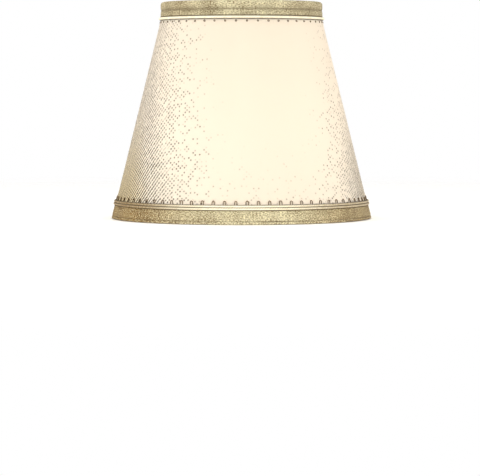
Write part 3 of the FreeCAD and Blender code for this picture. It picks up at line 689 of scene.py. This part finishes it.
def lapRound(mesh, c):  # once round and a few steps more, so that the end lies on the start
    step = math.tau / c["steps"]
    start = backAngle + c["startStep"] * step
    return start, *goRound(mesh, c["steps"] + c["lapSteps"],
                           math.tau + step * c["lapSteps"], start)


def makeUpperTrim():
    c = upperTrim
    half = layers["trim"] / 2
    outer = upperRim - half
    reach = tapedRadius + half
    foot = upperTrimFoot
    hollowAt = (foot + ringLevel) / 2 + c["hollowShift"]
    tuckFoot = ringLevel - c["tuck"]
    mesh = lineFrom(outer, foot)
    lineTo(mesh, outer, foot + c["hemRows"], 4)
    lineTo(mesh, outer, ringLevel, 12)
    lineRound(mesh, ringRadius, ringLevel, -180, 12)
    lineTo(mesh, ringRadius - reach, ringLevel - c["straight"], 3)
    lineTo(mesh, insideRadius(tuckFoot) - half - c["tuckClear"], tuckFoot, 7)
    start, turns, ways, ends = lapRound(mesh, c)
    for v in mesh.verts:
        turn, level = turns[v.index], v.co.z
        radius = math.hypot(v.co.x, v.co.y)
        away = Vector((v.co.x, v.co.y, 0)).normalized()
        over = ontoLap("trim", (turn - math.tau) * radius)
        if radius > ringRadius:
            spot = Vector((math.cos(turn), math.sin(turn), 0)) * c["wavesRound"]
            spot.z = level * c["wavesUp"]
            lift = overSeam(start + turn, radius) + over + c["wave"] * noise.noise(spot)
            lift -= c["hollow"] * bell(level - hollowAt, c["hollowReach"])
            v.co += away * lift
        else:
            v.co -= away * over
        if level < foot + 0.0001 and radius > ringRadius:
            v.co.z += c["fray"] * noise.noise(Vector((turn * c["frays"], 0, 0)))
        if over and level > ringLevel:
            v.co.z += over * (level - ringLevel) / reach
    armTop = nodeSpan("spider_arm_1")[1].z
    slit = []
    for face in mesh.faces:
        middle = face.calc_center_median()
        inside = middle.xy.length < ringRadius and middle.z < armTop + c["slitAbove"]
        if inside and offArm(middle) < math.tau / c["steps"]:
            slit.append(face)
    layCut(mesh, turns, ways, ends, lambda turn, way: (turn * ringRadius, way))

    # painted shade: a patchy dark band along the hollow below the ring, and the foot by the piping
    def shade(v):
        if v.co.xy.length < ringRadius:
            return 0.0
        away = v.co.z - hollowAt
        patchy = 0.3 + 0.5 * noise.noise(v.co * c["patchesPerMetre"])
        patchy *= bell(away, c["broadReach"])
        edge = 1 - easeStep(*edgeShade, v.co.z - foot)
        return max(c["shadeStrength"] * bell(away, c["shadeReach"]), patchy,
                   seamShade["strength"] * edge)

    mark(mesh, "paintedCreviceShade", shade)
    mark(mesh, "sideShade", lambda v: sideShadeAt(v, sideShading["upper"]))
    bmesh.ops.delete(mesh, geom=slit, context="FACES")
    piece = finishPiece("upperTrim", mesh, trimMaterial, ["top_band"],
                        layers["trim"], 0)


# lower trim: the same cloth, wider, turned under the bottom ring with a rolled rim
lowerTrim = {"steps": 288, "lapSteps": 4, "startStep": 5,
             "rows": ((0.015, 4), (0.0048, 8), (0.0028, 4)),   # down the outside
             "crease": 0.0007, "creaseReach": 0.0009, "rollHeight": 0.0034,
             "rim": 0.0012, "rimHeight": 0.75, "rimIn": 0.1, "rimFoot": 0.0030,
             "tuckDown": 0.0014, "straight": 0.0042, "tuckClear": 0.0002,
             "flatUnder": (0.001, 0.002),    # stays on the ring this far in and out
             "wave": 0.0002, "wavesPerMetre": 60, "underShade": (0.0002, 0.0010)}


def makeLowerTrim():
    c = lowerTrim
    half = layers["trim"] / 2
    outer = lowerRim - half * slant
    tuckTop = lowerTrimTop - c["tuckDown"]
    rimLevel = half + c["rim"] * c["rimHeight"]
    mesh = lineFrom(outer - coneSlope * lowerTrimTop, lowerTrimTop)
    for level, parts in c["rows"]:
        lineTo(mesh, outer - coneSlope * level, level, parts)
    lineTo(mesh, outer - coneSlope * c["rim"] - c["rim"] * c["rimIn"], rimLevel, 3)
    lineRound(mesh, outer - c["rim"], rimLevel, 60, 3)
    lineTo(mesh, lowerRim - c["rimFoot"], half)
    lineTo(mesh, lowRingRadius, half, 3)
    lineRound(mesh, lowRingRadius, lowRingLevel, 90, 6)
    lineTo(mesh, lowRingRadius - tapedRadius - half, lowRingLevel + c["straight"], 3)
    lineTo(mesh, insideRadius(tuckTop) - half - c["tuckClear"], tuckTop, 6)
    start, turns, ways, ends = lapRound(mesh, c)
    for v in mesh.verts:
        turn, level = turns[v.index], v.co.z
        radius = math.hypot(v.co.x, v.co.y)
        away = Vector((v.co.x, v.co.y, 0)).normalized()
        over = ontoLap("trim", (turn - math.tau) * radius)
        if radius > lowRingRadius + c["flatUnder"][1]:
            lift = over + (overSeam(start + turn, radius) if level > 0.003 else 0)
            lift += c["wave"] * noise.noise(v.co * c["wavesPerMetre"])
            lift -= c["crease"] * bell(level - c["rollHeight"], c["creaseReach"])
            v.co += away * lift
        elif radius < lowRingRadius - c["flatUnder"][0]:
            v.co -= away * over
    layCut(mesh, turns, ways, ends, lambda turn, way: (turn * lowerRim, way))

    # painted shade: the crease above the rolled rim, the foot under the rim, and the top by the
    # piping
    def shade(v):
        if v.co.xy.length < lowRingRadius:
            return 0.0
        patchy = 0.5 + 0.5 * noise.noise(v.co * c["wavesPerMetre"])
        edge = 1 - easeStep(*edgeShade, lowerTrimTop - v.co.z)
        under = 1 - easeStep(*c["underShade"], v.co.z)
        return max(patchy * bell(v.co.z - c["rollHeight"], c["creaseReach"]), 0.5 * under,
                   seamShade["strength"] * edge)

    mark(mesh, "paintedCreviceShade", shade)
    mark(mesh, "sideShade", lambda v: sideShadeAt(v, sideShading["lower"]))
    piece = finishPiece("lowerTrim", mesh, trimMaterial, ["bottom_band"],
                        layers["trim"], 0)


def roundSection(thick, sides, place):  # a circle in the XZ plane, to be drawn into a tube
    mesh = bmesh.new()
    bmesh.ops.create_circle(mesh, radius=thick / 2, segments=sides)
    bmesh.ops.rotate(mesh, verts=mesh.verts, cent=(0, 0, 0),
                     matrix=Matrix.Rotation(math.pi / 2, 3, "X"))
    bmesh.ops.translate(mesh, verts=mesh.verts, vec=place)
    mesh.verts.ensure_lookup_table()
    return mesh


def tubeRound(ringAt, levelAt, thick, steps, sides, swell, liftAt):
    # a tube round the axis: swell gives its section's radius from the turn and the way round it
    mesh = roundSection(thick, sides, (ringAt, 0, levelAt))
    turns, ways, ends = goRound(mesh, steps)
    for v in mesh.verts:
        turn, round_ = turns[v.index], ways[v.index] / (thick / 2)
        angle = backAngle + turn
        away = Vector((math.cos(angle), math.sin(angle), 0))
        centre = away * ringAt + Vector((0, 0, levelAt))
        v.co = centre + (v.co - centre) * swell(turn, round_) + away * liftAt(angle)
    return mesh, turns, ways, ends


# three bias-cut cotton tubes round cotton cords
piping = {"upper": ("top_piping_cord", "top_piping_cover"),
          "welt": ("upper_welt_cord", "upper_welt_cover"),
          "lowWelt": ("lower_welt_cord", "lower_welt_cover"),
          "steps": 360, "clothSides": 20, "cordSides": 12,
          "clothFit": 0.985, "cordFit": 0.97, "wall": 0.9,    # shares of the CAD's own sizes
          "wrinkle": 0.05, "wrinklesPerMetre": 130, "plyTurn": 0.0085, "plyDepth": 0.1,
          "seamFrom": 0.66, "seamTo": 0.98,
          "pastTube": 0.001}    # declared past the tube's girth; sewn-in flanges aren't modelled


def makePiping(name):
    c = piping
    cordNode, coverNode = c[name]
    ringAt, levelAt, thick = sectionOf(coverNode)

    def wrinkled(turn, round_):
        spot = Vector((math.cos(turn), math.sin(turn), 0)) * ringAt * c["wrinklesPerMetre"]
        return 1 + c["wrinkle"] * noise.noise(spot + Vector((0, 0, round_ * 0.8)))

    def lifted(angle):
        return overSeam(angle, ringAt)

    mesh, turns, ways, ends = tubeRound(ringAt, levelAt, thick * c["clothFit"], c["steps"],
                                        c["clothSides"], wrinkled, lifted)
    layCut(mesh, turns, ways, ends, lambda turn, way: (turn * ringAt, way))

    def shade(v):  # painted shade: the sides and back of the tube lie in the seam
        side = abs(v.co.z - levelAt) / (thick / 2)
        if v.co.xy.length < ringAt:
            return seamShade["strength"]
        return seamShade["strength"] * easeStep(c["seamFrom"], c["seamTo"], side)

    mark(mesh, "paintedCreviceShade", shade)
    mark(mesh, "sideShade", lambda v: sideShadeAt(v, 0 if name == "upper" else sideShading["welts"]))
    cover = finishPiece(name + "PipingCover", mesh, pipingMaterial,
                        [coverNode], layers["piping"] * c["wall"], -1)
    plies = round(math.tau * ringAt / c["plyTurn"])
    inner = thick - 2 * layers["piping"]

    def twisted(turn, round_):
        return 1 - c["plyDepth"] * (1 - abs(math.cos(1.5 * (round_ - turn * plies / 3 * 2))))

    mesh = tubeRound(ringAt, levelAt, inner * c["cordFit"], c["steps"], c["cordSides"],
                     twisted, lifted)[0]
    finishPiece(name + "PipingCord", mesh, cottonMaterial, [cordNode])
    return cover


# cotton tape wound round each wire ring, each turn a little over the last
ringTape = {"width": 0.012, "step": 0.0095, "edge": 0.00018, "steps": 504, "sides": 12,
            "wall": 0.55,
            "overlap": 1.22,      # as declared; turns this close would need about 1.5
            "gapAcross": 0.0027, "gapUp": 0.0021}   # halves of the gap for each arm


def makeRingTape(name, node, wireNode):
    c = ringTape
    ringAt, levelAt, wire = sectionOf(wireNode)
    thick = wire + 2 * layers["tape"]
    windings = round(math.tau * ringAt / c["step"])

    def wound(turn, round_):
        phase = (turn * windings / math.tau + round_ / math.tau) % 1
        return 1 - c["edge"] / (thick / 2) * phase

    mesh, turns, ways, ends = tubeRound(ringAt, levelAt, thick, c["steps"], c["sides"], wound,
                                        lambda angle: 0)
    layCut(mesh, turns, ways, ends, lambda turn, way: (turn * ringAt, way))
    if name == "upperRingTape":
        gaps = []
        for face in mesh.faces:
            middle = face.calc_center_median()
            inside = middle.xy.length < ringAt and abs(middle.z - levelAt) < c["gapUp"]
            if inside and offArm(middle) * ringAt < c["gapAcross"]:
                gaps.append(face)
        bmesh.ops.delete(mesh, geom=gaps, context="FACES")
    piece = finishPiece(name, mesh, cottonMaterial, [node],
                        layers["tape"] * c["wall"], -1)


def only(kind, geom):
    return [g for g in geom if isinstance(g, kind)]


def copyAround(mesh, places):  # the first shape goes to the first place, its copies to the rest
    shape = mesh.verts[:] + mesh.edges[:] + mesh.faces[:]
    copies = []
    for place in places[1:]:
        made = bmesh.ops.duplicate(mesh, geom=shape)["geom"]
        copies.append((only(bmesh.types.BMVert, made), place))
    bmesh.ops.transform(mesh, matrix=places[0], verts=only(bmesh.types.BMVert, shape))
    for verts, place in copies:
        bmesh.ops.transform(mesh, matrix=place, verts=verts)


def stitchRow(c, level, lift):  # places round the cover; no two stitches by hand are alike
    random_ = random.Random(c["seed"])
    tilt, least, most = c["tilt"], 1 - c["vary"], 1 + c["vary"]
    places = []
    for k in range(c["count"]):
        angle = backAngle + c["firstTurn"] + math.tau * k / c["count"]
        lean = Matrix.Rotation(random_.uniform(-tilt, tilt), 4, "Z")
        wide, high = random_.uniform(least, most), random_.uniform(least, most)
        size = Matrix.Diagonal((wide, high, 1, 1))
        places.append(onCover(angle, level, lift) @ lean @ size)
    return places


def makeLowerStitches():
    c = lowerStitches
    reach = (c["width"] - c["thread"]) / 2
    leg = c["height"] - c["thread"] / 2 - reach
    mesh = roundSection(c["thread"], 6, (-reach, *c["dip"]))
    edge = mesh.edges[:]
    moves = [(0, *c["rise"]), (0, leg + c["dip"][0], 0)]

    def draw(move):  # carries the thread's newest end on
        made = bmesh.ops.extrude_edge_only(mesh, edges=edge)["geom"]
        bmesh.ops.translate(mesh, vec=move, verts=only(bmesh.types.BMVert, made))
        return only(bmesh.types.BMEdge, made)

    for move in moves:
        edge = draw(move)
    made = bmesh.ops.spin(mesh, geom=edge, cent=(0, leg, 0), axis=(0, 0, 1), angle=-math.pi,
                          steps=6, use_merge=False, use_duplicate=False)["geom_last"]
    edge = only(bmesh.types.BMEdge, made)
    for move in reversed(moves):
        edge = draw(Vector(move) * -1)
    bmesh.ops.holes_fill(mesh, edges=[e for e in mesh.edges if e.is_boundary], sides=6)
    copyAround(mesh, stitchRow(c, loopFoot, c["thread"] / 2))
    finishPiece("lowerLoopStitches", mesh, threadMaterial, ["bottom_stitches"],
                subdivide=1)


def makeUpperStitches():
    c = upperStitches
    mesh = roundSection(c["thread"], 6, ((c["width"] - c["thread"]) / 2, 0, 0))
    bmesh.ops.spin(mesh, geom=mesh.verts[:] + mesh.edges[:], cent=(0, 0, 0), axis=(0, 0, 1),
                   angle=math.tau, steps=8, use_merge=True, use_duplicate=False)
    copyAround(mesh, stitchRow(c, knotLevel, c["thread"] * c["sunk"]))
    finishPiece("upperKnots", mesh, threadMaterial, ["top_stitches"],
                subdivide=1)


# brazed joints: a small bead of brass where each arm meets the washer and the upper ring
brazing = {"across": 0.0021, "along": 0.0026, "high": 0.00165, "apart": 0.0004,
           "rough": 0.0001, "lumpsPerMetre": 900}


def makeBeads():
    c = brazing
    low, high = nodeSpan("spider_arm_1")          # this arm runs along Y
    wire = high.x - low.x
    mesh = bmesh.new()
    bmesh.ops.create_icosphere(mesh, subdivisions=3, radius=1.0)
    size = Matrix.Diagonal((c["along"], c["across"], c["high"], 1))
    hubRim = nodeSpan("spider_hub")[1].x + c["apart"]
    ringRim = ringRadius - ringWire / 2 - c["apart"]
    places = []
    for arm in armAngles:
        turn = Matrix.Rotation(arm, 4, "Z")
        for radius, level in ((hubRim, low.z + wire / 2), (ringRim, high.z - wire / 2)):
            places.append(turn @ Matrix.Translation((radius, 0, level)) @ size)
    copyAround(mesh, places)
    for v in mesh.verts:
        v.co += v.co.normalized() * c["rough"] * noise.noise(v.co * c["lumpsPerMetre"])
    finishPiece("brazeBeads", mesh, brassMaterial, [])


cover = makeCover()
makeBacking()
print("cover and backing made")
makeUpperTrim()
makeLowerTrim()
print("trims made")
pipings = [makePiping(name) for name in ("upper", "welt", "lowWelt")]
makeRingTape("upperRingTape", "top_ring_tape", "top_wire_ring")
makeRingTape("lowerRingTape", "bottom_ring_tape", "bottom_wire_ring")
print("piping and tapes made")
makeLowerStitches()
makeUpperStitches()
makeBeads()
print("stitches and beads made")

# the metal parts keep their CAD shapes
metalParts = {"top_wire_ring": steelMaterial, "bottom_wire_ring": steelMaterial,
              "spider_hub": brassMaterial, "spider_arm_1": brassMaterial,
              "spider_arm_2": brassMaterial, "spider_arm_3": brassMaterial}
for node, metal in metalParts.items():
    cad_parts[node].data.materials.clear()
    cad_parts[node].data.materials.append(metal)
print("metals painted")


# studio: a pale floor that fades into the pale backdrop, soft lights, and a lamp in the shade
studio = {"backdrop": "#FFFFFF", "ambient": 0.39, "ambientColour": "#FFF9F0",
          "floor": "#FAF9F6", "floorRadius": 6.0, "floorDrop": 0.0005,
          "fadeFrom": 0.32, "fadeTo": 1.5,
          "aim": (0, 0, 0.13)}
areaLights = {
    "softKey": {"place": (0.55, -4.2, 1.75), "power": 59.0, "colour": "#FFFDF8", "size": 2.0},
    "leftFill": {"place": (-2.3, -0.9, 0.7), "power": 40.0, "colour": "#FFFFFF", "size": 1.6},
    "rightFill": {"place": (2.3, -0.9, 0.7), "power": 29.0, "colour": "#FFFFFF", "size": 1.6},
    "softTop": {"place": (0, 0.2, 2.2), "power": 13.0, "colour": "#FFFFFF", "size": 1.6},
}
lamp = {"place": (0, 0, 0.125), "power": 0.19, "colour": "#FFFDF8", "size": 0.03}
floorWash = {"place": (0, 0.2, 2.4), "power": 28.0, "colour": "#FFFFFF", "size": 2.0}
# these two cast no shadow and reach only the cloth that lets light through
glows = {
    "lowGlow": {"place": (-0.03, 0.045, 0.06), "power": 0.12, "colour": "#FFFFFF", "size": 0.02},
    "highGlow": {"place": (-0.022, 0.035, 0.205), "power": 0.05, "colour": "#FFFFFF",
                 "size": 0.02},
}


def addLight(name, kind, settings, aim=None):
    data = bpy.data.lights.new(name, kind)
    data.energy = settings["power"]
    data.color = paint(settings["colour"])[:3]
    if kind == "AREA":
        data.shape = "SQUARE"
        data.size = settings["size"]
    else:
        data.shadow_soft_size = settings["size"]
    light = bpy.data.objects.new(name, data)
    light.location = settings["place"]
    if aim is not None:
        way = Vector(aim) - Vector(settings["place"])
        light.rotation_euler = way.to_track_quat("-Z", "Y").to_euler()
    bpy.context.scene.collection.objects.link(light)
    return light


def makeFloor():
    mesh = bmesh.new()
    bmesh.ops.create_circle(mesh, cap_ends=True, radius=studio["floorRadius"], segments=96)
    material, tree = blankMaterial("paleStudioFloor")
    spot = addNode(tree, "ShaderNodeTexCoord").outputs["Object"]
    away = addNode(tree, "ShaderNodeVectorMath", {"operation": "LENGTH"}, {0: spot})
    fade = addNode(tree, "ShaderNodeMapRange", {"interpolation_type": "SMOOTHSTEP"}, {
        "Value": away.outputs["Value"], "From Min": studio["fadeFrom"],
        "From Max": studio["fadeTo"]}).outputs["Result"]
    matt = addNode(tree, "ShaderNodeBsdfPrincipled", inputs={
        "Base Color": paint(studio["floor"]), "Roughness": 0.9, "Specular IOR Level": 0.1})
    clear = addNode(tree, "ShaderNodeBsdfTransparent")
    both = addNode(tree, "ShaderNodeMixShader", inputs={
        "Fac": fade, 1: matt.outputs["BSDF"], 2: clear.outputs["BSDF"]})
    addNode(tree, "ShaderNodeOutputMaterial", inputs={"Surface": both.outputs["Shader"]})
    data = bpy.data.meshes.new("studioFloor")
    mesh.to_mesh(data)
    mesh.free()
    data.materials.append(material)
    floor = bpy.data.objects.new("studioFloor", data)
    floor.location = (0, 0, -studio["floorDrop"])
    bpy.context.scene.collection.objects.link(floor)
    return floor


def makeWorld():
    world = bpy.data.worlds.new("paleBackdrop")
    bpy.context.scene.world = world
    world.use_nodes = True
    tree = world.node_tree
    tree.nodes.clear()
    seen = addNode(tree, "ShaderNodeBackground", inputs={
        "Color": paint(studio["backdrop"]), "Strength": 1.0})
    light = addNode(tree, "ShaderNodeBackground", inputs={
        "Color": paint(studio["ambientColour"]), "Strength": studio["ambient"]})
    path = addNode(tree, "ShaderNodeLightPath")
    both = addNode(tree, "ShaderNodeMixShader", inputs={
        "Fac": path.outputs["Is Camera Ray"], 1: light.outputs["Background"],
        2: seen.outputs["Background"]})
    addNode(tree, "ShaderNodeOutputWorld", inputs={"Surface": both.outputs["Shader"]})


floor = makeFloor()
makeWorld()
for name, settings in areaLights.items():
    addLight(name, "AREA", settings, studio["aim"])
addLight("bulb", "POINT", lamp)
wash = addLight("floorWash", "AREA", floorWash, (0, 0, 0))
ground = bpy.data.collections.new("washedFloor")
ground.objects.link(floor)
wash.light_linking.receiver_collection = ground
lit = bpy.data.collections.new("litThrough")
for piece in [cover, *pipings]:
    lit.objects.link(piece)
for name, settings in glows.items():
    glow = addLight(name, "POINT", settings)
    glow.data.use_shadow = False
    glow.light_linking.receiver_collection = lit
print("studio made")

# a long lens from the front, looking slightly down
lens = {"length": 183.5, "sensor": 36.0, "place": (0, -3.100, 0.1667), "down": 3.556,
        "aside": 0.0019}
camera = bpy.data.cameras.new("camera")
camera.lens = lens["length"]
camera.sensor_width = lens["sensor"]
view = bpy.data.objects.new("camera", camera)
view.location = lens["place"]
turnAside = math.atan2(lens["aside"], -lens["place"][1])
view.rotation_euler = (math.radians(90 - lens["down"]), 0, turnAside)
bpy.context.scene.collection.objects.link(view)
bpy.context.scene.camera = view
bpy.context.scene.view_settings.view_transform = "Standard"
bpy.context.scene.view_settings.look = "None"
print("camera set")

bpy.context.view_layer.update()
